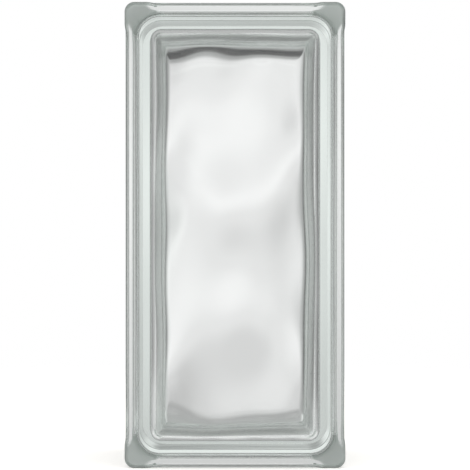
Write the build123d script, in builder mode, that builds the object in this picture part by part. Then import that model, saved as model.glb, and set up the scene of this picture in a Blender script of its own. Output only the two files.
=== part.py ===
"""Hollow pressed-glass wall block, half width, standing on its short end.

Two pressed glass trays are fused rim to rim at mid depth. Each tray has a flat outer face,
a flange that stands proud of the side walls, four side walls with a slight draft, and a
rolling wave relief pressed into the inner side of its face. The flanges and the side walls
leave a groove all round for mortar and a joint rod, with the fused seam as a bead along it.

Frame: +Z up, +Y from the front face to the back face, origin at the middle of the base.
Sizes are in millimetres and angles in degrees.
"""

import os
from math import cos, pi, radians, sin

from build123d import *

# Overall sizes, over the corner pads
block_width = 90.0
block_height = 190.0
block_depth = 80.0

# Flange round each face, with a pad at each corner that stands a little proud of its sides
flange_thickness = 8.0
flange_corner_radius = 4.0
face_edge_radius = 1.5
flange_back_radius = 1.2
pad_length = 12.0
pad_proud = 0.4
pad_ramp = 3.0
pad_ramp_radius = 8.0

# Side walls, with the groove measured inwards from the flange between its pads
groove_depth_at_seam = 4.6
wall_thickness_at_seam = 4.2
wall_draft = 1.5
wall_corner_radius = 9.0
cove_radius = 2.4

# Cavity, which narrows from the seam to the face
cavity_draft = 2.2
cavity_corner_radius = 5.5
cavity_floor_radius = 4.0

# Fused seam, squeezed out as a bead on both sides of the wall; each tray has half of it
seam_bead_width = 3.4
seam_bead_proud = 0.8
seam_bead_inside = 0.5

# Face plate, and the swells that make up its relief: height, length, heading and phase
plate_thickness = 8.0
swells = [
    (0.37, 74.0, 62.0, 242.0),
    (0.42, 30.5, 163.0, 200.0),
    (0.28, 42.5, 158.0, 9.0),
    (0.56, 44.5, 24.0, 33.0),
    (0.35, 40.5, 121.0, 278.0),
]
relief_grid_step = 5.0
relief_margin = 10.0

half_depth = block_depth / 2
flange_width = block_width - 2 * pad_proud
flange_height = block_height - 2 * pad_proud
wall_width = flange_width - 2 * groove_depth_at_seam
wall_height = flange_height - 2 * groove_depth_at_seam
wall_run = half_depth - flange_thickness
cavity_width = wall_width - 2 * wall_thickness_at_seam
cavity_height = wall_height - 2 * wall_thickness_at_seam
cavity_depth = half_depth - plate_thickness

# The plane of the seam, facing out of the front face, with its X to the right and its Y up
seam = Plane(origin=(0, 0, block_height / 2), x_dir=(1, 0, 0), z_dir=(0, -1, 0))


def relief(across, up):
    """How far the inner side of the face plate dips into the glass at a place on the face."""
    dip = 0.0
    for height, length, heading, phase in swells:
        along = across * cos(radians(heading)) + up * sin(radians(heading))
        dip += height * cos(2 * pi * along / length + radians(phase))
    return dip


def relief_line(size):
    """Evenly spaced places across one side of the cavity, with a margin past both walls."""
    reach = size / 2 + relief_margin
    count = round(2 * reach / relief_grid_step)
    return [-reach + 2 * reach * step / count for step in range(count + 1)]


def relief_surface():
    """The pressed inner side of the face plate, as one smooth surface past the walls."""
    points = [
        [
            seam.from_local_coords(Vector(across, up, cavity_depth + relief(across, up)))
            for up in relief_line(cavity_height)
        ]
        for across in relief_line(cavity_width)
    ]
    return Face.make_surface_from_array_of_points(points, tol=0.01, min_deg=3, max_deg=3)


# Half of the bead outside the wall: a rounded step along the rim, hidden inside the wall
with BuildPart() as outer_bead:
    with BuildSketch(seam):
        RectangleRounded(
            wall_width + 2 * seam_bead_proud,
            wall_height + 2 * seam_bead_proud,
            wall_corner_radius + seam_bead_proud,
        )
    extrude(amount=seam_bead_width / 2)
    fillet(outer_bead.faces().sort_by(Axis.Y)[0].edges(), 0.9 * seam_bead_proud)

# What the inner bead leaves open of the cavity at the rim
with BuildPart() as rim_opening:
    with BuildSketch(seam):
        RectangleRounded(
            cavity_width - 2 * seam_bead_inside,
            cavity_height - 2 * seam_bead_inside,
            cavity_corner_radius - seam_bead_inside,
        )
    extrude(amount=seam_bead_width / 2)

# The cavity as a solid: drafted walls, the relief rounded into them, and the bead's neck
with BuildPart() as cavity:
    with BuildSketch(seam):
        RectangleRounded(cavity_width, cavity_height, cavity_corner_radius)
    extrude(amount=half_depth, taper=cavity_draft)
    split(bisect_by=relief_surface(), keep=Keep.BOTTOM)
    fillet(cavity.faces().filter_by(GeomType.BSPLINE)[0].edges(), cavity_floor_radius)
    with BuildSketch(seam):
        Rectangle(block_width, block_height)
    extrude(amount=seam_bead_width / 2, mode=Mode.SUBTRACT)
    add(rim_opening.part)

with BuildPart() as front_tray:
    # Flange, cut back a little between its corners so that the corner pads stand proud
    with BuildSketch(seam.offset(wall_run)) as flange_outline:
        Rectangle(block_width, block_height)
        fillet(flange_outline.vertices(), flange_corner_radius)
        for side_length, reach, turn in (
            (block_height, block_width / 2, 0),
            (block_width, block_height / 2, 90),
            (block_height, block_width / 2, 180),
            (block_width, block_height / 2, 270),
        ):
            half_cut = side_length / 2 - pad_length
            with Locations(Location((0, 0, 0), (0, 0, turn))):
                Polygon(
                    (reach, half_cut),
                    (reach - pad_proud, half_cut - pad_ramp),
                    (reach - pad_proud, pad_ramp - half_cut),
                    (reach, -half_cut),
                    align=None,
                    mode=Mode.SUBTRACT,
                )
        past_corner = flange_corner_radius + 1
        fillet(
            flange_outline.vertices().filter_by(
                lambda end: abs(end.X) < block_width / 2 - past_corner
                or abs(end.Y) < block_height / 2 - past_corner
            ),
            pad_ramp_radius,
        )
    extrude(amount=flange_thickness)
    fillet(front_tray.faces().sort_by(Axis.Y)[0].edges(), face_edge_radius)
    fillet(front_tray.faces().sort_by(Axis.Y)[-1].edges(), flange_back_radius)

    # Side walls, with a cove where they run into the flange
    with BuildSketch(seam):
        RectangleRounded(wall_width, wall_height, wall_corner_radius)
    extrude(amount=wall_run, taper=wall_draft)
    wall_foot = (
        front_tray.edges()
        .filter_by_position(Axis.Y, -wall_run - 0.01, 0.01 - wall_run)
        .filter_by_position(Axis.X, -wall_width / 2, wall_width / 2)
        .filter_by_position(
            Axis.Z, (block_height - wall_height) / 2, (block_height + wall_height) / 2
        )
    )
    fillet(wall_foot, cove_radius)

    add(outer_bead.part)
    add(cavity.part, mode=Mode.SUBTRACT)

front_half = front_tray.part
front_half.label = "front_half"

# The back tray is the same pressing, turned round to face the other way
back_half = front_half.rotate(Axis.Z, 180)
back_half.label = "back_half"

os.makedirs("parts", exist_ok=True)
for tray in (front_half, back_half):
    print(tray.label, round(tray.volume), tray.is_valid, tray.bounding_box().size)
    export_step(tray, f"parts/{tray.label}.step")
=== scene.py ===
"""Half-width glass block with a wave pattern, standing upright on a pale studio floor.

The two pressed trays are fused into one closed body of glass round a sealed cavity, so the
block is one mesh with an outer skin and a cavity skin. Lengths are in metres.
"""

from math import cos, pi, radians, sin, tan
from typing import NamedTuple

import bmesh
import bpy
from bpy.props import FloatProperty, FloatVectorProperty, PointerProperty
from bpy.types import Operator, Panel, PropertyGroup
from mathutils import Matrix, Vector


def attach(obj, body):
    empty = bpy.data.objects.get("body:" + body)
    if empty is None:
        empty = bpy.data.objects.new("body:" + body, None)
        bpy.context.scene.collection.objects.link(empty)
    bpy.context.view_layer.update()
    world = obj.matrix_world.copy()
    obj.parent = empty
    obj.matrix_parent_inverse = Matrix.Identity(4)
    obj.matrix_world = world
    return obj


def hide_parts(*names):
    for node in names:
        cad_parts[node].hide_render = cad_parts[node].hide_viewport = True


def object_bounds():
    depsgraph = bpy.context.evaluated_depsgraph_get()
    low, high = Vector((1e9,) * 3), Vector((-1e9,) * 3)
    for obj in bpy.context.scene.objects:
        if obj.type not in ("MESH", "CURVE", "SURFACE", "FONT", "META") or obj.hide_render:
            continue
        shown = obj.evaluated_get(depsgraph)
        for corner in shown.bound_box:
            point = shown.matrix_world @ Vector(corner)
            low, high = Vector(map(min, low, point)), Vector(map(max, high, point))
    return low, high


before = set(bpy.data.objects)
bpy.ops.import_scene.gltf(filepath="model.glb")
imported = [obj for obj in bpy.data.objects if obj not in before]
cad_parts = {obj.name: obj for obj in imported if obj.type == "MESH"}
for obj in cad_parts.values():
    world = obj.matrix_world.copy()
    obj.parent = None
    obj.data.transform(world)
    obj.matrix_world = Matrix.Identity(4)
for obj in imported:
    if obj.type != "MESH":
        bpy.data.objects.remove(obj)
cad_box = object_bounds()

bl_info = {
    "name": "Glass Block",
    "version": (1, 0, 0),
    "blender": (4, 5, 0),
    "location": "3D View > Sidebar > Glass Block",
    "description": "Builds a hollow pressed-glass wall block and its studio",
    "category": "Add Mesh",
}

LOW, HIGH = (Vector(corner) for corner in cad_box)
MIDDLE = (LOW.z + HIGH.z) / 2
MM = 0.001


# Nodes


def linear(hex_colour):
    """An sRGB hex colour as linear RGB."""
    channels = [int(hex_colour[i : i + 2], 16) / 255 for i in (1, 3, 5)]
    return tuple(
        c / 12.92 if c <= 0.04045 else ((c + 0.055) / 1.055) ** 2.4 for c in channels
    )


def add_node(tree, kind, inputs=None, **settings):
    """Adds a node, with its settings, and its inputs as values or links."""
    node = tree.nodes.new(kind)
    for name, value in settings.items():
        setattr(node, name, value)
    for key, value in (inputs or {}).items():
        socket = node.inputs[key]
        if isinstance(value, bpy.types.NodeSocket):
            tree.links.new(value, socket)
        else:
            socket.default_value = value
    return node


# Sizes, finishes and studio


def length_property(name, description, millimetres):
    """A length shown in the scene's units."""
    return FloatProperty(
        name=name,
        description=description,
        default=millimetres * MM,
        min=0.0,
        unit="LENGTH",
        precision=5,
    )


def degrees_property(name, description, degrees):
    """An angle shown in degrees."""
    return FloatProperty(
        name=name, description=description, default=radians(degrees), subtype="ANGLE"
    )


def colour_property(name, description, hex_colour):
    """A colour shown as a swatch."""
    return FloatVectorProperty(
        name=name, description=description, default=linear(hex_colour), subtype="COLOR"
    )


class BlockSizes(PropertyGroup):
    """Sizes of the glass block."""

    width: FloatProperty(
        name="Width", description="Over the corner pads", default=HIGH.x - LOW.x, unit="LENGTH"
    )
    depth: FloatProperty(
        name="Depth", description="From face to face", default=HIGH.y - LOW.y, unit="LENGTH"
    )
    height: FloatProperty(
        name="Height", description="Over the corner pads", default=HIGH.z - LOW.z, unit="LENGTH"
    )
    flange_thickness: length_property("Flange", "Thickness of a flange", 8.0)
    flange_corner: length_property("Flange corner", "Corner radius of the flange", 4.0)
    face_edge: length_property("Face edge", "Radius of the edge round a face", 1.6)
    pad_edge: length_property("Pad edge", "Radius of the face's edge on a corner pad", 1.2)
    flange_back: length_property("Flange back", "Radius of the edge behind a flange", 1.2)
    pad_length: length_property("Pad length", "Length of a corner pad", 12.0)
    pad_proud: length_property("Pad proud", "How far a corner pad stands out", 0.4)
    pad_ramp: length_property("Pad ramp", "Length of the ramp that ends a pad", 3.0)
    groove: length_property("Groove", "Depth of the mortar groove at the seam", 4.6)
    patch_core: length_property("Patch core", "How far a corner's patch goes out to the rim", 7.0)
    patch_length: length_property("Patch", "How far from a corner its patch reaches", 15.5)
    patch_fade: length_property("Patch fade", "Width of the patch's soft border", 1.2)
    wall: length_property("Wall", "Thickness of a side wall at the seam", 4.2)
    wall_corner: length_property("Wall corner", "Outer corner radius of the walls", 9.0)
    wall_draft: degrees_property("Wall draft", "Slope of the walls, outside", 1.0)
    cove: length_property("Cove", "Radius where a wall meets its flange", 2.4)
    cavity_corner: length_property("Cavity corner", "Corner radius of the cavity", 5.5)
    cavity_draft: degrees_property("Cavity draft", "Slope of the walls, inside", 2.2)
    floor_rise: length_property("Floor rise", "Depth of the round edge of the relief", 6.0)
    floor_run: length_property("Floor run", "Reach of that edge from the sides", 7.5)
    floor_end_run: length_property("Floor end run", "Reach of that edge from the ends", 8.0)
    plate: length_property("Plate", "Mean thickness of a face plate", 8.0)
    bead_width: length_property("Bead width", "Width of the fused seam's bead", 3.4)
    bead_proud: length_property("Bead outside", "How far the bead stands out", 0.8)
    bead_inside: length_property("Bead inside", "How far the bead stands in", 0.5)


SWELL_COUNT = 5


def swell_property(name, description, values, unit):
    """One value for each swell of the relief."""
    return FloatVectorProperty(
        name=name,
        description=description,
        default=values,
        size=SWELL_COUNT,
        unit=unit,
        precision=5,
    )


class BlockRelief(PropertyGroup):
    """The swells that make up the pressed relief, and the unevenness of the walls."""

    heights: swell_property(
        "Heights",
        "Rise of each swell over the mean plane",
        [height * MM for height in (0.37, 0.42, 0.28, 0.56, 0.35)],
        "LENGTH",
    )
    lengths: swell_property(
        "Lengths",
        "From crest to crest",
        [length * MM for length in (74.0, 30.5, 42.5, 44.5, 40.5)],
        "LENGTH",
    )
    headings: swell_property(
        "Headings",
        "Way across the face that each swell runs",
        [radians(heading) for heading in (62, 163, 158, 24, 121)],
        "ROTATION",
    )
    phases: swell_property(
        "Phases",
        "Turn of each swell at the middle of the face",
        [radians(phase) for phase in (242, 200, 9, 33, 278)],
        "ROTATION",
    )
    unevenness: length_property("Unevenness", "Depth of the walls' fire-polished ripple", 0.12)
    ripple_length: length_property("Ripple length", "Size of the ripple along a wall", 45.0)
    ripple_width: length_property("Ripple width", "Size of the ripple across a wall", 9.0)


class BlockFinish(PropertyGroup):
    """Finish of the glass block."""

    ior: FloatProperty(name="IOR", description="Of soda-lime glass", default=1.52)
    polished_roughness: FloatProperty(
        name="Polished", description="Roughness of the fire-polished faces", default=0.02
    )
    frosted_roughness: FloatProperty(
        name="Frosted", description="Roughness of the frosted corners", default=0.4
    )
    # Painted shade: grey-green base colours that darken the walls and, more, the frosted corners
    satin_shade_colour: colour_property("Satin", "Tint of the walls", "#E6EDE9")
    frosted_shade_colour: colour_property("Frosted colour", "Tint of the frosted corners", "#A0ACA5")
    tint_colour: colour_property("Tint", "Colour of the light that comes through", "#E6F0EB")
    tint_density: FloatProperty(
        name="Tint density", description="How fast the tint builds up, per metre", default=10.0
    )


class Studio(PropertyGroup):
    """The stage and the camera."""

    floor_colour: colour_property("Floor", "Colour of the floor", "#E6E4E0")
    floor_lift: FloatProperty(
        name="Floor lift",
        description="What the camera sees of the floor over its own light, up to white",
        default=0.4,
    )
    floor_reach: FloatProperty(
        name="Floor reach",
        description="From the block to the edge of the floor",
        default=0.8,
        unit="LENGTH",
    )
    softbox_power: FloatProperty(
        name="Softbox", description="Power of the soft light", default=4.0, unit="POWER"
    )
    light_level: FloatProperty(
        name="Light level", description="Level of the soft light on the floor", default=1.0
    )
    camera_distance: length_property("Camera distance", "From the front face to the lens", 850)
    lens: FloatProperty(name="Lens", description="Focal length in mm", default=160.0)


# Mesh

# How finely the outer skin is divided, along the flanges and near their pads, and how many
# steps each part of a tray's outside has
FLANGE_STEP = 5 * MM
PAD_STEP = 0.9 * MM
OUTER_CORNER_STEPS = 12
FACE_EDGE_STEPS = 10
FLANGE_BACK_EDGE_STEPS = 6
FLANGE_BACK_STEPS = 6
COVE_STEPS = 7
OUTER_WALL_STEPS = 12
OUTER_BEAD_STEPS = 9

# The same for the cavity skin, whose stops go across and up
CAVITY_STOPS = (56, 150)
CAVITY_CORNER_STEPS = 10
FLOOR_EDGE_STEPS = 14
CAVITY_WALL_STEPS = 14
CAVITY_BEAD_STEPS = 10

# A row this close to an edge keeps the shading of the flat beside it flat
HOLD = 0.1 * MM
# How far inside the flange's rounded corners the outer skin's end grid starts
CAP_MARGIN = 0.5 * MM
# Points closer than this are one point
WELD = 0.002 * MM
# Where the rows of a wall end, in half widths of the bead from the seam
BEAD_ROOT = 1.25
# How steeply the bead falls off: one would be a parabola
BEAD_FALL = 1.2

# How far the frosted roughness and painted grey shade of the corner patches show elsewhere too
FLANGE_BACK_FROST_AND_SHADE = 0.25
OUTER_WALL_FROST_AND_SHADE = 0.125
CAVITY_WALL_FROST_AND_SHADE = 0.5


class Row(NamedTuple):
    """One ring of a tray's profile: a rounded rectangle at a distance from the seam.

    It has an inset from the block's own outline and a corner radius. The others are the weights
    of the relief, the walls' unevenness, the frosted roughness with its painted grey shade, the
    frosted corner patches with their darker painted shade, and how much further in the ends are
    set than the sides.
    """

    inset: float
    y: float
    radius: float
    relief: float = 0.0
    uneven: float = 0.0
    frost_and_shade: float = 0.0
    patch: float = 0.0
    end: float = 0.0


class Skin:
    """A closed skin: rings of one count from the front to the back, and a grid over each end."""

    def __init__(self, sizes, across_stops, up_stops, corner_steps, outward):
        self.half_width, self.half_height = sizes.width / 2, sizes.height / 2
        self.across_stops = across_stops
        self.up_stops = up_stops
        self.corner_steps = corner_steps
        self.outward = outward
        self.points = []
        self.weights = []
        self.faces = []
        self.last = None

    def outline(self, row):
        """A row's rounded rectangle, anticlockwise as seen from the front.

        Its points are (x, z, along, place): along is half the length of the straight side, and
        place the point's distance from its middle, or None round a corner.
        """
        half_x = self.half_width - row.inset - row.radius
        half_z = self.half_height - row.inset - row.end - row.radius
        ring = []
        for turn in (0, 90, 180, 270):
            upright = turn in (0, 180)
            along, out = (half_z, half_x) if upright else (half_x, half_z)
            places = [
                (out + row.radius, along * stop, along * stop)
                for stop in (self.up_stops if upright else self.across_stops)
            ]
            for step in range(1, self.corner_steps):
                angle = pi / 2 * step / self.corner_steps
                places.append(
                    (out + row.radius * cos(angle), along + row.radius * sin(angle), None)
                )
            c, s = cos(radians(turn)), sin(radians(turn))
            ring += [(p * c - q * s, p * s + q * c, along, place) for p, q, place in places]
        return ring

    def face(self, *corners):
        """Adds a face given as it runs round the outer skin, turned round on a cavity."""
        self.faces.append(corners if self.outward else corners[::-1])

    def ring(self, points, weights):
        """Adds a ring of (x, y, z) points, and the faces that join it to the ring before."""
        start = len(self.points)
        self.points += [(x, y, z + MIDDLE) for x, y, z in points]
        self.weights += weights
        ring = list(range(start, len(self.points)))
        if self.last:
            for i, before in enumerate(self.last):
                j = (i + 1) % len(ring)
                self.face(before, ring[i], ring[j], self.last[j])
        self.last = ring

    def cap(self, y, relief, front):
        """Fills the last ring, whose corners have closed up, with a grid of its own stops."""
        columns, rows = len(self.across_stops), len(self.up_stops)
        sides, start = [], 0
        for count in (rows, columns, rows, columns):
            sides.append(self.last[start : start + count])
            start += count + self.corner_steps - 1
        right, top, left, base = sides
        grid = {}
        for column in range(columns):
            for row in range(rows):
                if column == columns - 1:
                    index = right[row]
                elif column == 0:
                    index = left[rows - 1 - row]
                elif row == rows - 1:
                    index = top[columns - 1 - column]
                elif row == 0:
                    index = base[column]
                else:
                    index = len(self.points)
                    self.points.append(
                        (self.points[base[column]][0], y, self.points[right[row]][2])
                    )
                    self.weights.append((relief, 0.0, 0.0))
                grid[column, row] = index
        for column in range(columns - 1):
            for row in range(rows - 1):
                corners = (
                    grid[column, row],
                    grid[column + 1, row],
                    grid[column + 1, row + 1],
                    grid[column, row + 1],
                )
                self.face(*(corners if front else corners[::-1]))


def clamped(value):
    """A value held between nothing and one."""
    return min(max(value, 0.0), 1.0)


def even_stops(count):
    """Evenly spaced stops from -1 to 1."""
    return [2 * i / count - 1 for i in range(count + 1)]


def flange_stops(along, fine_from):
    """Stops from -1 to 1 along a flange's side, closer together near its pads."""
    half, place = [], 0.0
    while place < along - PAD_STEP / 4:
        half.append(place / along)
        place += PAD_STEP if place > fine_from - FLANGE_STEP else FLANGE_STEP
    half.append(1.0)
    return [-stop for stop in half[:0:-1]] + half


def arc(count):
    """Angles from 0 to a quarter turn."""
    return [pi / 2 * i / count for i in range(count + 1)]


def wall_stops(start, bead, count):
    """Distances from the seam along a wall, from past its start to the root of the bead."""
    return [start + (bead * BEAD_ROOT - start) * step / count for step in range(1, count + 1)]


def bead_stops(bead, count):
    """Distances from the seam over half a bead, from its root to just short of the seam."""
    return [bead * (1 - step / count) for step in range(count)]


def bead_shape(across):
    """A squeezed bead's height across its half width, round on top and soft at its root."""
    return (1 - across**2) ** BEAD_FALL


def both_trays(rows, seam_row):
    """A tray's rows, the row at the seam, and the rows of the back tray."""
    back = [row._replace(y=-row.y, relief=-row.relief) for row in reversed(rows)]
    return [*rows, seam_row, *back]


def outer_profile(sizes, edge, set_back):
    """One tray's outside, from its face to the seam, for a face edge's radius and a set-back of
    the flange's side."""
    half = sizes.depth / 2
    back = half - sizes.flange_thickness
    wall_inset = sizes.pad_proud + sizes.groove
    corner = sizes.flange_corner

    def wall(y):
        lean = tan(sizes.wall_draft) * y
        return wall_inset + lean, sizes.wall_corner - lean

    # The face, its rounded edge and the rim
    rows = [
        Row(corner + CAP_MARGIN, half, 0.0),
        Row(set_back + edge + HOLD, half, max(corner - edge - HOLD, 0.0)),
    ]
    for angle in arc(FACE_EDGE_STEPS):
        inset, drop = edge * (1 - sin(angle)), edge * (1 - cos(angle))
        rows.append(Row(set_back + inset, half - drop, corner - inset))
    rows.append(Row(set_back, half - edge - HOLD, corner))
    edge = sizes.flange_back
    rows.append(Row(set_back, back + edge + HOLD, corner))
    for angle in arc(FLANGE_BACK_EDGE_STEPS):
        inset, drop = edge * (1 - cos(angle)), edge * (1 - sin(angle))
        frost_and_shade_share = sin(angle)
        frost_and_shade = FLANGE_BACK_FROST_AND_SHADE * frost_and_shade_share
        rows.append(
            Row(set_back + inset, back + drop, corner - inset, frost_and_shade=frost_and_shade, patch=frost_and_shade_share)
        )

    # The back of the flange, and the cove that rounds it into the wall
    cove_end = back - sizes.cove
    foot, foot_corner = wall(cove_end)
    flat_start, flat_end = edge + HOLD, foot - sizes.cove
    for step in range(1, FLANGE_BACK_STEPS):
        share = step / FLANGE_BACK_STEPS
        inset = flat_start + (flat_end - flat_start) * share
        radius = corner + (foot_corner + foot - corner) * share - inset
        rows.append(Row(inset, back, radius, frost_and_shade=FLANGE_BACK_FROST_AND_SHADE, patch=1.0))
    for angle in arc(COVE_STEPS):
        inset = flat_end + sizes.cove * sin(angle)
        y = cove_end + sizes.cove * cos(angle)
        radius, uneven = foot_corner + foot - inset, 1 - cos(angle)
        rows.append(Row(inset, y, radius, uneven=uneven, frost_and_shade=FLANGE_BACK_FROST_AND_SHADE, patch=1.0))

    # The wall and the bead
    bead = sizes.bead_width / 2
    for y in wall_stops(cove_end, bead, OUTER_WALL_STEPS):
        inset, radius = wall(y)
        rows.append(Row(inset, y, radius, uneven=1.0, frost_and_shade=OUTER_WALL_FROST_AND_SHADE))
    for y in bead_stops(bead, OUTER_BEAD_STEPS):
        inset, radius = wall(y)
        swell = sizes.bead_proud * bead_shape(y / bead)
        rows.append(Row(inset - swell, y, radius + swell, uneven=1.0, frost_and_shade=OUTER_WALL_FROST_AND_SHADE))
    return rows


def cavity_profile(sizes):
    """One tray's inside, from its floor to the seam."""
    floor = sizes.depth / 2 - sizes.plate
    wall_inset = sizes.pad_proud + sizes.groove + sizes.wall

    def wall(y):
        lean = tan(sizes.cavity_draft) * y
        return wall_inset + lean, sizes.cavity_corner - lean

    # The rim of the floor, and its round edge
    top = floor - sizes.floor_rise
    more = sizes.floor_end_run - sizes.floor_run
    inset, radius = wall(top)
    rows = [Row(inset + sizes.floor_run, floor, 0.0, relief=1.0, end=more)]
    for angle in arc(FLOOR_EDGE_STEPS):
        turn = sizes.floor_run * (1 - sin(angle))
        rows.append(
            Row(
                inset + turn,
                floor - sizes.floor_rise * (1 - cos(angle)),
                max(radius - turn, 0.0),
                relief=1.0,
                uneven=sin(angle),
                frost_and_shade=CAVITY_WALL_FROST_AND_SHADE * sin(angle),
                end=more * (1 - sin(angle)),
            )
        )

    # The wall, where the relief dies out, and the bead
    bead = sizes.bead_width / 2
    for y in wall_stops(top, bead, CAVITY_WALL_STEPS):
        inset, radius = wall(y)
        relief = (y - bead) / (top - bead)
        rows.append(
            Row(inset, y, radius, relief=relief, uneven=1.0, frost_and_shade=CAVITY_WALL_FROST_AND_SHADE)
        )
    for y in bead_stops(bead, CAVITY_BEAD_STEPS):
        inset, radius = wall(y)
        swell = sizes.bead_inside * bead_shape(y / bead)
        rows.append(Row(inset + swell, y, radius - swell, uneven=1.0, frost_and_shade=CAVITY_WALL_FROST_AND_SHADE))
    return rows


def outer_skin(sizes):
    """The outside of the block."""
    corner, foot = sizes.flange_corner, sizes.pad_proud + sizes.groove
    stops = []
    for side in (sizes.width, sizes.height):
        along = side / 2 - corner
        stops.append(flange_stops(along, along + corner - sizes.patch_length))
    skin = Skin(sizes, *stops, OUTER_CORNER_STEPS, outward=True)

    def near_corner(along, place, reach, run):
        """One near a corner, falling to nothing along a run that ends at a reach from it."""
        if place is None:
            return 1.0
        near = 1 - clamped((along + corner - reach - abs(place)) / run + 1)
        return near * near * (3 - 2 * near)

    def in_patch(row, along, place):
        """One in a corner's frosted patch of painted grey shade, which narrows to the foot of the
        wall along a side.
        """
        if place is None:
            return 1.0
        away = along + row.inset + row.radius - abs(place) - sizes.patch_core
        away = clamped(away / (sizes.patch_length - sizes.patch_core))
        border = foot * away * away * (3 - 2 * away)
        return clamped((row.inset - border) / sizes.patch_fade) if away < 1 else 0.0

    # The flange between its pads, on the pads, and with the crisper edge of the patches
    radius = sizes.wall_corner + sizes.bead_proud
    seam_row = Row(foot - sizes.bead_proud, 0.0, radius, uneven=1.0, frost_and_shade=OUTER_WALL_FROST_AND_SHADE)
    profiles = [
        both_trays(outer_profile(sizes, edge, set_back), seam_row)
        for edge, set_back in (
            (sizes.face_edge, sizes.pad_proud),
            (sizes.face_edge, 0.0),
            (sizes.pad_edge, sizes.pad_proud),
        )
    ]
    for number, (plain, raised, crisp) in enumerate(zip(*profiles)):
        ring, weights = [], []
        outlines = [skin.outline(row) for row in (plain, raised, crisp)]
        for (x, z, along, place), on_raised, on_crisp in zip(*outlines):
            pad = near_corner(along, place, sizes.pad_length, sizes.pad_ramp)
            edge = near_corner(along, place, sizes.patch_length, sizes.patch_length - corner)
            ring.append(
                (
                    x + (on_raised[0] - x) * pad + (on_crisp[0] - x) * edge,
                    -(plain.y + (raised.y - plain.y) * pad + (crisp.y - plain.y) * edge),
                    z + (on_raised[1] - z) * pad + (on_crisp[1] - z) * edge,
                )
            )
            # Painted shade: the corner patches add their weight of frosted roughness and grey
            # base colour
            frost_and_shade_share = (1 - plain.frost_and_shade) * plain.patch * in_patch(plain, along, place)
            weights.append((0.0, plain.uneven, plain.frost_and_shade + frost_and_shade_share))
        skin.ring(ring, weights)
        if number == 0:
            skin.cap(ring[0][1], 0.0, front=True)
    skin.cap(ring[0][1], 0.0, front=False)
    return skin


def cavity_skin(sizes):
    """The inside of the block, with its relief still flat."""
    stops = [even_stops(count) for count in CAVITY_STOPS]
    skin = Skin(sizes, *stops, CAVITY_CORNER_STEPS, outward=False)
    inset = sizes.pad_proud + sizes.groove + sizes.wall + sizes.bead_inside
    radius = sizes.cavity_corner - sizes.bead_inside
    seam_row = Row(inset, 0.0, radius, uneven=1.0, frost_and_shade=CAVITY_WALL_FROST_AND_SHADE)
    for number, row in enumerate(both_trays(cavity_profile(sizes), seam_row)):
        ring = [(x, -row.y, z) for x, z, _, _ in skin.outline(row)]
        skin.ring(ring, [(row.relief, row.uneven, row.frost_and_shade)] * len(ring))
        if number == 0:
            skin.cap(-row.y, row.relief, front=True)
    skin.cap(-row.y, row.relief, front=False)
    return skin


def block_mesh(name, skins):
    """One mesh of several skins, with their weights as attributes."""
    points, faces, weights = [], [], []
    for skin in skins:
        start = len(points)
        points += skin.points
        weights += skin.weights
        faces += [tuple(start + corner for corner in face) for face in skin.faces]
    mesh = bpy.data.meshes.new(name)
    mesh.from_pydata(points, [], faces)
    for column, attribute in enumerate(("relief", "uneven", "frost_and_shade")):
        layer = mesh.attributes.new(attribute, "FLOAT", "POINT")
        layer.data.foreach_set("value", [weight[column] for weight in weights])
    shape = bmesh.new()
    shape.from_mesh(mesh)
    bmesh.ops.remove_doubles(shape, verts=shape.verts, dist=WELD)
    shape.to_mesh(mesh)
    shape.free()
    mesh.shade_smooth()
    return mesh


# Geometry Nodes


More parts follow.
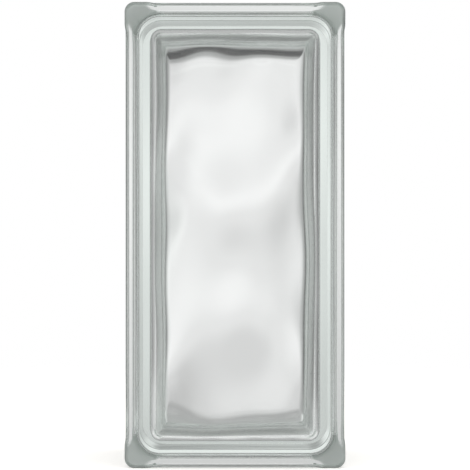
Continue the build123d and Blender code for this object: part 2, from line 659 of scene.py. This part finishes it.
def pressing_tree(material):
    """Geometry Nodes that press the relief into the cavity's floors and ripple the walls.

    The front tray has a relief weight over zero, and the back tray, the same pressing turned
    round, one under zero.
    """
    tree = bpy.data.node_groups.new("pressed_relief", "GeometryNodeTree")
    face = tree.interface
    face.new_socket("Geometry", in_out="INPUT", socket_type="NodeSocketGeometry")
    face.new_socket("Geometry", in_out="OUTPUT", socket_type="NodeSocketGeometry")
    for number in range(1, SWELL_COUNT + 1):
        for what, kind in (("height", "Float"), ("run", "Vector"), ("phase", "Float")):
            name = f"Swell {number} {what}"
            face.new_socket(name, in_out="INPUT", socket_type=f"NodeSocket{kind}")
    face.new_socket("Unevenness", in_out="INPUT", socket_type="NodeSocketFloat")
    face.new_socket("Ripples", in_out="INPUT", socket_type="NodeSocketVector")
    given = add_node(tree, "NodeGroupInput").outputs
    relief, uneven = (
        add_node(
            tree, "GeometryNodeInputNamedAttribute", {"Name": name}, data_type="FLOAT"
        ).outputs["Attribute"]
        for name in ("relief", "uneven")
    )

    # The swells, seen from each tray's own face
    position = add_node(tree, "GeometryNodeInputPosition").outputs[0]
    place = add_node(
        tree,
        "ShaderNodeVectorMath",
        {0: position, 1: (0.0, 0.0, MIDDLE)},
        operation="SUBTRACT",
    )
    turned = add_node(tree, "ShaderNodeMath", {0: relief}, operation="SIGN")
    facing = add_node(tree, "ShaderNodeCombineXYZ", {"X": turned.outputs[0], "Z": 1.0})
    seen = add_node(
        tree,
        "ShaderNodeVectorMath",
        {0: place.outputs[0], 1: facing.outputs[0]},
        operation="MULTIPLY",
    )
    dip = 0.0
    for number in range(1, SWELL_COUNT + 1):
        along = add_node(
            tree,
            "ShaderNodeVectorMath",
            {0: seen.outputs[0], 1: given[f"Swell {number} run"]},
            operation="DOT_PRODUCT",
        )
        turns = add_node(
            tree,
            "ShaderNodeMath",
            {0: along.outputs["Value"], 1: given[f"Swell {number} phase"]},
            operation="ADD",
        )
        wave = add_node(tree, "ShaderNodeMath", {0: turns.outputs[0]}, operation="COSINE")
        dip = add_node(
            tree,
            "ShaderNodeMath",
            {0: wave.outputs[0], 1: given[f"Swell {number} height"], 2: dip},
            operation="MULTIPLY_ADD",
        ).outputs[0]
    depth = add_node(tree, "ShaderNodeMath", {0: dip, 1: relief}, operation="MULTIPLY")
    pressed = add_node(
        tree,
        "ShaderNodeVectorMath",
        {0: (0.0, -1.0, 0.0), "Scale": depth.outputs[0]},
        operation="SCALE",
    )

    # The ripple of the walls, along their normals, with as much in as out
    spread = add_node(
        tree, "ShaderNodeVectorMath", {0: position, 1: given["Ripples"]}, operation="MULTIPLY"
    )
    ripple = add_node(
        tree, "ShaderNodeTexNoise", {"Vector": spread.outputs[0], "Scale": 1.0, "Detail": 1.0}
    )
    swing = add_node(
        tree, "ShaderNodeMath", {0: ripple.outputs[0], 1: 0.5}, operation="SUBTRACT"
    )
    share = add_node(
        tree, "ShaderNodeMath", {0: uneven, 1: given["Unevenness"]}, operation="MULTIPLY"
    )
    height = add_node(
        tree,
        "ShaderNodeMath",
        {0: swing.outputs[0], 1: share.outputs[0]},
        operation="MULTIPLY",
    )
    normal = add_node(tree, "GeometryNodeInputNormal").outputs[0]
    offset = add_node(
        tree,
        "ShaderNodeVectorMath",
        {0: normal, "Scale": height.outputs[0]},
        operation="SCALE",
    )
    moved = add_node(
        tree,
        "ShaderNodeVectorMath",
        {0: pressed.outputs[0], 1: offset.outputs[0]},
        operation="ADD",
    )
    shaped = add_node(
        tree,
        "GeometryNodeSetPosition",
        {"Geometry": given["Geometry"], "Offset": moved.outputs[0]},
    )
    real = add_node(tree, "GeometryNodeRealizeInstances", {"Geometry": shaped.outputs[0]})
    finished = add_node(
        tree,
        "GeometryNodeSetMaterial",
        {"Geometry": real.outputs[0], "Material": material},
    )
    add_node(tree, "NodeGroupOutput", {"Geometry": finished.outputs[0]})
    return tree


def press(obj, tree, values):
    """Runs a Geometry Nodes tree on an object and returns the result as a plain mesh."""
    modifier = obj.modifiers.new(tree.name, "NODES")
    modifier.node_group = tree
    for item in tree.interface.items_tree:
        if item.in_out == "INPUT" and item.name in values:
            modifier[item.identifier] = values[item.name]
    graph = bpy.context.evaluated_depsgraph_get()
    mesh = bpy.data.meshes.new_from_object(obj.evaluated_get(graph))
    obj.modifiers.remove(modifier)
    return mesh


# Materials


def pressed_glass(finish):
    """Clear soda-lime glass, pressed in a mould and fire-polished.

    Its faces are water-clear and glossy, and it is faintly green where the eye looks along a
    wall, because of a trace of iron. The walls keep a little of the mould's satin, which
    softens what shows in them, and the corners of the flanges, where the mould was colder, are
    frosted. The walls, and more so those corners, are greyed by painted shade in the base colour.
    """
    material = bpy.data.materials.new("pressed_soda_lime_glass")
    material.use_nodes = True
    tree = material.node_tree
    tree.nodes.clear()
    # Weight of frosted roughness and of painted grey shade
    frost_and_shade = add_node(tree, "ShaderNodeAttribute", attribute_name="frost_and_shade")
    rough = add_node(
        tree,
        "ShaderNodeMapRange",
        {
            "Value": frost_and_shade.outputs["Fac"],
            "To Min": finish.polished_roughness,
            "To Max": finish.frosted_roughness,
        },
    )

    # Painted shade: the base colour greys from clear, through the satin walls, to the darker
    # frosted corners
    painted_shade_ramp = add_node(tree, "ShaderNodeValToRGB", {"Fac": frost_and_shade.outputs["Fac"]})
    stops = painted_shade_ramp.color_ramp.elements
    stops[0].color = (1.0, 1.0, 1.0, 1.0)
    stops[1].color = (*finish.frosted_shade_colour, 1.0)
    stops.new(CAVITY_WALL_FROST_AND_SHADE).color = (*finish.satin_shade_colour, 1.0)
    shader = add_node(
        tree,
        "ShaderNodeBsdfPrincipled",
        {
            "Base Color": painted_shade_ramp.outputs[0],
            "Roughness": rough.outputs[0],
            "IOR": finish.ior,
            "Transmission Weight": 1.0,
        },
    )
    body = add_node(
        tree,
        "ShaderNodeVolumeAbsorption",
        {"Color": (*finish.tint_colour, 1.0), "Density": finish.tint_density},
    )
    add_node(
        tree,
        "ShaderNodeOutputMaterial",
        {"Surface": shader.outputs[0], "Volume": body.outputs[0]},
    )
    return material


# Stage

# Where the floor starts to fade, and how far short of its edge it is gone, in metres
FADE_START = 0.2
FADE_MARGIN = 0.1

SOFTBOX_SIZE = (1.2, 0.9)
SOFTBOX_PLACE = (0.3, -1.0, 1.3)
SOFTBOX_AIM = (0, 0, 0.1)
SENSOR_WIDTH = 36.0

# Light goes through many skins of glass before it is lost
GLASS_BOUNCES = 32
GLOSSY_BOUNCES = 16

# The surroundings that the glass shows, as stops of (heading in degrees from straight ahead,
# level) or (sine of the height, level): a pale backdrop behind the block, which fades to a
# dimmer table edge below and a dark ceiling above, dim sides, a bright room behind the camera,
# and a pale table all round. The backdrop's levels slope down to the left by a share of the way
# across.
BACKDROP = (
    (-1.0, 0.45), (-0.6, 0.42), (-0.25, 0.38), (-0.1, 0.64), (-0.03, 0.78), (0.04, 0.93),
    (0.1, 0.84), (0.18, 0.34), (0.25, 0.03), (0.34, 0.0), (0.44, 0.3), (0.6, 0.5), (1.0, 0.5),
)
BACKDROP_SLOPE = -0.3
SPREAD = ((-180, 0), (-42, 0), (-22, 0.6), (-8, 1), (2, 1), (15, 0.5), (32, 0), (180, 0))
SIDES = (
    (-180, 1.0), (-135, 0.8), (-90, 0.5), (-40, 0.24), (0, 0.15), (40, 0.1), (90, 0.4),
    (135, 0.8), (180, 1.0),
)
AT_EYE_LEVEL = ((-1.0, 0.0), (-0.35, 0.0), (0.0, 1.0), (0.35, 0.0), (1.0, 0.0))
TABLE_AND_CEILING = ((-1.0, 0.85), (-0.25, 0.85), (0.25, 0.5), (1.0, 0.5))


def glass_rays(tree, path):
    """One for a ray that gloss or glass sends on, and nothing for the camera's own and light."""
    return add_node(
        tree,
        "ShaderNodeMath",
        {0: path["Is Glossy Ray"], 1: path["Is Transmission Ray"]},
        operation="MAXIMUM",
    ).outputs[0]


def make_floor(collection, studio):
    """A plain pale floor that the camera sees as white, with the block's shadow on it."""
    material = bpy.data.materials.new("pale_floor")
    material.use_nodes = True
    tree = material.node_tree
    tree.nodes.clear()
    path = add_node(tree, "ShaderNodeLightPath").outputs
    colour = (*studio.floor_colour, 1.0)
    matt = add_node(tree, "ShaderNodeBsdfDiffuse", {"Color": colour})
    lift = add_node(
        tree, "ShaderNodeEmission", {"Color": (1, 1, 1, 1), "Strength": studio.floor_lift}
    )
    shown = add_node(tree, "ShaderNodeAddShader", {0: matt.outputs[0], 1: lift.outputs[0]})
    near = add_node(
        tree,
        "ShaderNodeMixShader",
        {0: path["Is Camera Ray"], 1: matt.outputs[0], 2: shown.outputs[0]},
    )

    # It fades into the white far from the block, and gives way to the surroundings in the glass
    place = add_node(tree, "ShaderNodeTexCoord").outputs["Object"]
    away = add_node(tree, "ShaderNodeVectorMath", {0: place}, operation="LENGTH")
    fade = add_node(
        tree,
        "ShaderNodeMapRange",
        {
            "Value": away.outputs["Value"],
            "From Min": FADE_START,
            "From Max": studio.floor_reach - FADE_MARGIN,
        },
        interpolation_type="SMOOTHERSTEP",
    )
    hidden = add_node(
        tree,
        "ShaderNodeMath",
        {0: fade.outputs[0], 1: glass_rays(tree, path)},
        operation="MAXIMUM",
    )
    gone = add_node(tree, "ShaderNodeBsdfTransparent", {"Color": (1, 1, 1, 1)})
    mixed = add_node(
        tree,
        "ShaderNodeMixShader",
        {0: hidden.outputs[0], 1: near.outputs[0], 2: gone.outputs[0]},
    )
    add_node(tree, "ShaderNodeOutputMaterial", {"Surface": mixed.outputs[0]})

    mesh = bpy.data.meshes.new("floor")
    reach = studio.floor_reach
    corners = [(x * reach, y * reach, 0) for x, y in ((-1, -1), (1, -1), (1, 1), (-1, 1))]
    mesh.from_pydata(corners, [], [(0, 1, 2, 3)])
    mesh.materials.append(material)
    floor = bpy.data.objects.new("floor", mesh)
    collection.objects.link(floor)


def level_ramp(tree, value, stops, reach):
    """A smooth curve of levels through stops that run from minus a reach to the reach."""
    place = add_node(
        tree, "ShaderNodeMapRange", {"Value": value, "From Min": -reach, "From Max": reach}
    )
    node = add_node(tree, "ShaderNodeValToRGB", {"Fac": place.outputs[0]})
    ramp = node.color_ramp
    ramp.interpolation = "EASE"
    for stop, level in stops[1:-1]:
        ramp.elements.new((stop / stops[-1][0] + 1) / 2).color = (level, level, level, 1.0)
    for end in (0, -1):
        ramp.elements[end].color = (*[stops[end][1]] * 3, 1.0)
    return node.outputs[0]


def make_world(scene, studio):
    """Soft studio surroundings: white to the camera, level light on what is matt, and the
    studio that the glass shows."""
    world = bpy.data.worlds.new("studio")
    scene.world = world
    world.use_nodes = True
    tree = world.node_tree
    tree.nodes.clear()
    path = add_node(tree, "ShaderNodeLightPath").outputs
    direction = add_node(tree, "ShaderNodeTexCoord").outputs["Generated"]
    way = add_node(tree, "ShaderNodeSeparateXYZ", {0: direction}).outputs
    heading = add_node(
        tree, "ShaderNodeMath", {0: way["X"], 1: way["Y"]}, operation="ARCTAN2"
    ).outputs[0]
    sloping = add_node(
        tree,
        "ShaderNodeMath",
        {0: way["X"], 1: BACKDROP_SLOPE, 2: way["Z"]},
        operation="MULTIPLY_ADD",
    )
    room = add_node(
        tree,
        "ShaderNodeMix",
        {
            0: level_ramp(tree, way["Z"], AT_EYE_LEVEL, 1.0),
            2: level_ramp(tree, way["Z"], TABLE_AND_CEILING, 1.0),
            3: level_ramp(tree, heading, SIDES, pi),
        },
        data_type="FLOAT",
    )
    around = add_node(
        tree,
        "ShaderNodeMix",
        {
            0: level_ramp(tree, heading, SPREAD, pi),
            2: room.outputs[0],
            3: level_ramp(tree, sloping.outputs[0], BACKDROP, 1.0),
        },
        data_type="FLOAT",
    )
    lit = add_node(
        tree,
        "ShaderNodeMix",
        {0: glass_rays(tree, path), 2: studio.light_level, 3: around.outputs[0]},
        data_type="FLOAT",
    )
    seen = add_node(
        tree,
        "ShaderNodeMix",
        {0: path["Is Camera Ray"], 2: lit.outputs[0], 3: 1.0},
        data_type="FLOAT",
    )
    background = add_node(
        tree, "ShaderNodeBackground", {"Color": (1, 1, 1, 1), "Strength": seen.outputs[0]}
    )
    add_node(tree, "ShaderNodeOutputWorld", {"Surface": background.outputs[0]})


def make_softbox(collection, studio):
    """A broad soft light over the camera."""
    lamp = bpy.data.lights.new("softbox", "AREA")
    lamp.shape = "RECTANGLE"
    lamp.size, lamp.size_y = SOFTBOX_SIZE
    lamp.energy = studio.softbox_power
    light = bpy.data.objects.new("softbox", lamp)
    light.location = SOFTBOX_PLACE
    from_block = Vector(light.location) - Vector(SOFTBOX_AIM)
    light.rotation_euler = from_block.to_track_quat("Z", "Y").to_euler()
    collection.objects.link(light)


def make_camera(scene, collection, studio):
    """A long lens, square on to the front face and level with its middle."""
    camera = bpy.data.cameras.new("camera")
    camera.lens = studio.lens
    camera.sensor_width = SENSOR_WIDTH
    stand = bpy.data.objects.new("camera", camera)
    stand.location = (0, LOW.y - studio.camera_distance, MIDDLE)
    stand.rotation_euler = (pi / 2, 0, 0)
    collection.objects.link(stand)
    scene.camera = stand


# Operators


class GLASSBLOCK_OT_block(Operator):
    """Build the block of pressed glass"""

    bl_idname = "glassblock.block"
    bl_label = "Glass Block"

    def execute(self, context):
        sizes = context.scene.block_sizes
        relief = context.scene.block_relief
        material = pressed_glass(context.scene.block_finish)
        mesh = block_mesh("moulded_skins", [outer_skin(sizes), cavity_skin(sizes)])
        blank = bpy.data.objects.new("moulded_skins", mesh)
        context.collection.objects.link(blank)
        values = {
            "Unevenness": relief.unevenness,
            "Ripples": (
                1 / relief.ripple_length,
                1 / relief.ripple_width,
                1 / relief.ripple_length,
            ),
        }
        swells = zip(relief.heights, relief.lengths, relief.headings, relief.phases)
        for number, (height, length, heading, phase) in enumerate(swells, 1):
            turn = 2 * pi / length
            values[f"Swell {number} height"] = height
            values[f"Swell {number} run"] = (turn * cos(heading), 0.0, turn * sin(heading))
            values[f"Swell {number} phase"] = phase
        block = bpy.data.objects.new("glass_block", press(blank, pressing_tree(material), values))
        bpy.data.objects.remove(blank)
        context.collection.objects.link(block)
        block.data.name = "glass_block"
        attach(block, "root")
        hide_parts("front_half", "back_half")
        return {"FINISHED"}


class GLASSBLOCK_OT_studio(Operator):
    """Build the floor, the lights and the camera"""

    bl_idname = "glassblock.studio"
    bl_label = "Studio"

    def execute(self, context):
        scene, collection = context.scene, context.collection
        studio = scene.block_studio
        make_floor(collection, studio)
        make_world(scene, studio)
        make_softbox(collection, studio)
        make_camera(scene, collection, studio)
        scene.view_settings.view_transform = "Standard"
        scene.cycles.max_bounces = GLASS_BOUNCES
        scene.cycles.transmission_bounces = GLASS_BOUNCES
        scene.cycles.glossy_bounces = GLOSSY_BOUNCES
        return {"FINISHED"}


# Panel and registration


class GLASSBLOCK_PT_panel(Panel):
    """Lists the pieces"""

    bl_label = "Glass Block"
    bl_idname = "GLASSBLOCK_PT_panel"
    bl_space_type = "VIEW_3D"
    bl_region_type = "UI"
    bl_category = "Glass Block"

    def draw(self, context):
        for group in GROUPS:
            settings = getattr(context.scene, group)
            for name in settings.__annotations__:
                self.layout.prop(settings, name)
        for operator in PIECES:
            self.layout.operator(operator.bl_idname)


PIECES = (GLASSBLOCK_OT_block, GLASSBLOCK_OT_studio)
GROUPS = {
    "block_sizes": BlockSizes,
    "block_relief": BlockRelief,
    "block_finish": BlockFinish,
    "block_studio": Studio,
}
CLASSES = (*GROUPS.values(), *PIECES, GLASSBLOCK_PT_panel)


def register():
    """Registers the add-on's classes."""
    for part in CLASSES:
        bpy.utils.register_class(part)
    for name, group in GROUPS.items():
        setattr(bpy.types.Scene, name, PointerProperty(type=group))


def unregister():
    """Removes the add-on's classes."""
    for name in GROUPS:
        delattr(bpy.types.Scene, name)
    for part in reversed(CLASSES):
        bpy.utils.unregister_class(part)


def main():
    """Builds everything."""
    register()
    bpy.ops.glassblock.block()
    bpy.ops.glassblock.studio()


if __name__ == "__main__":
    main()
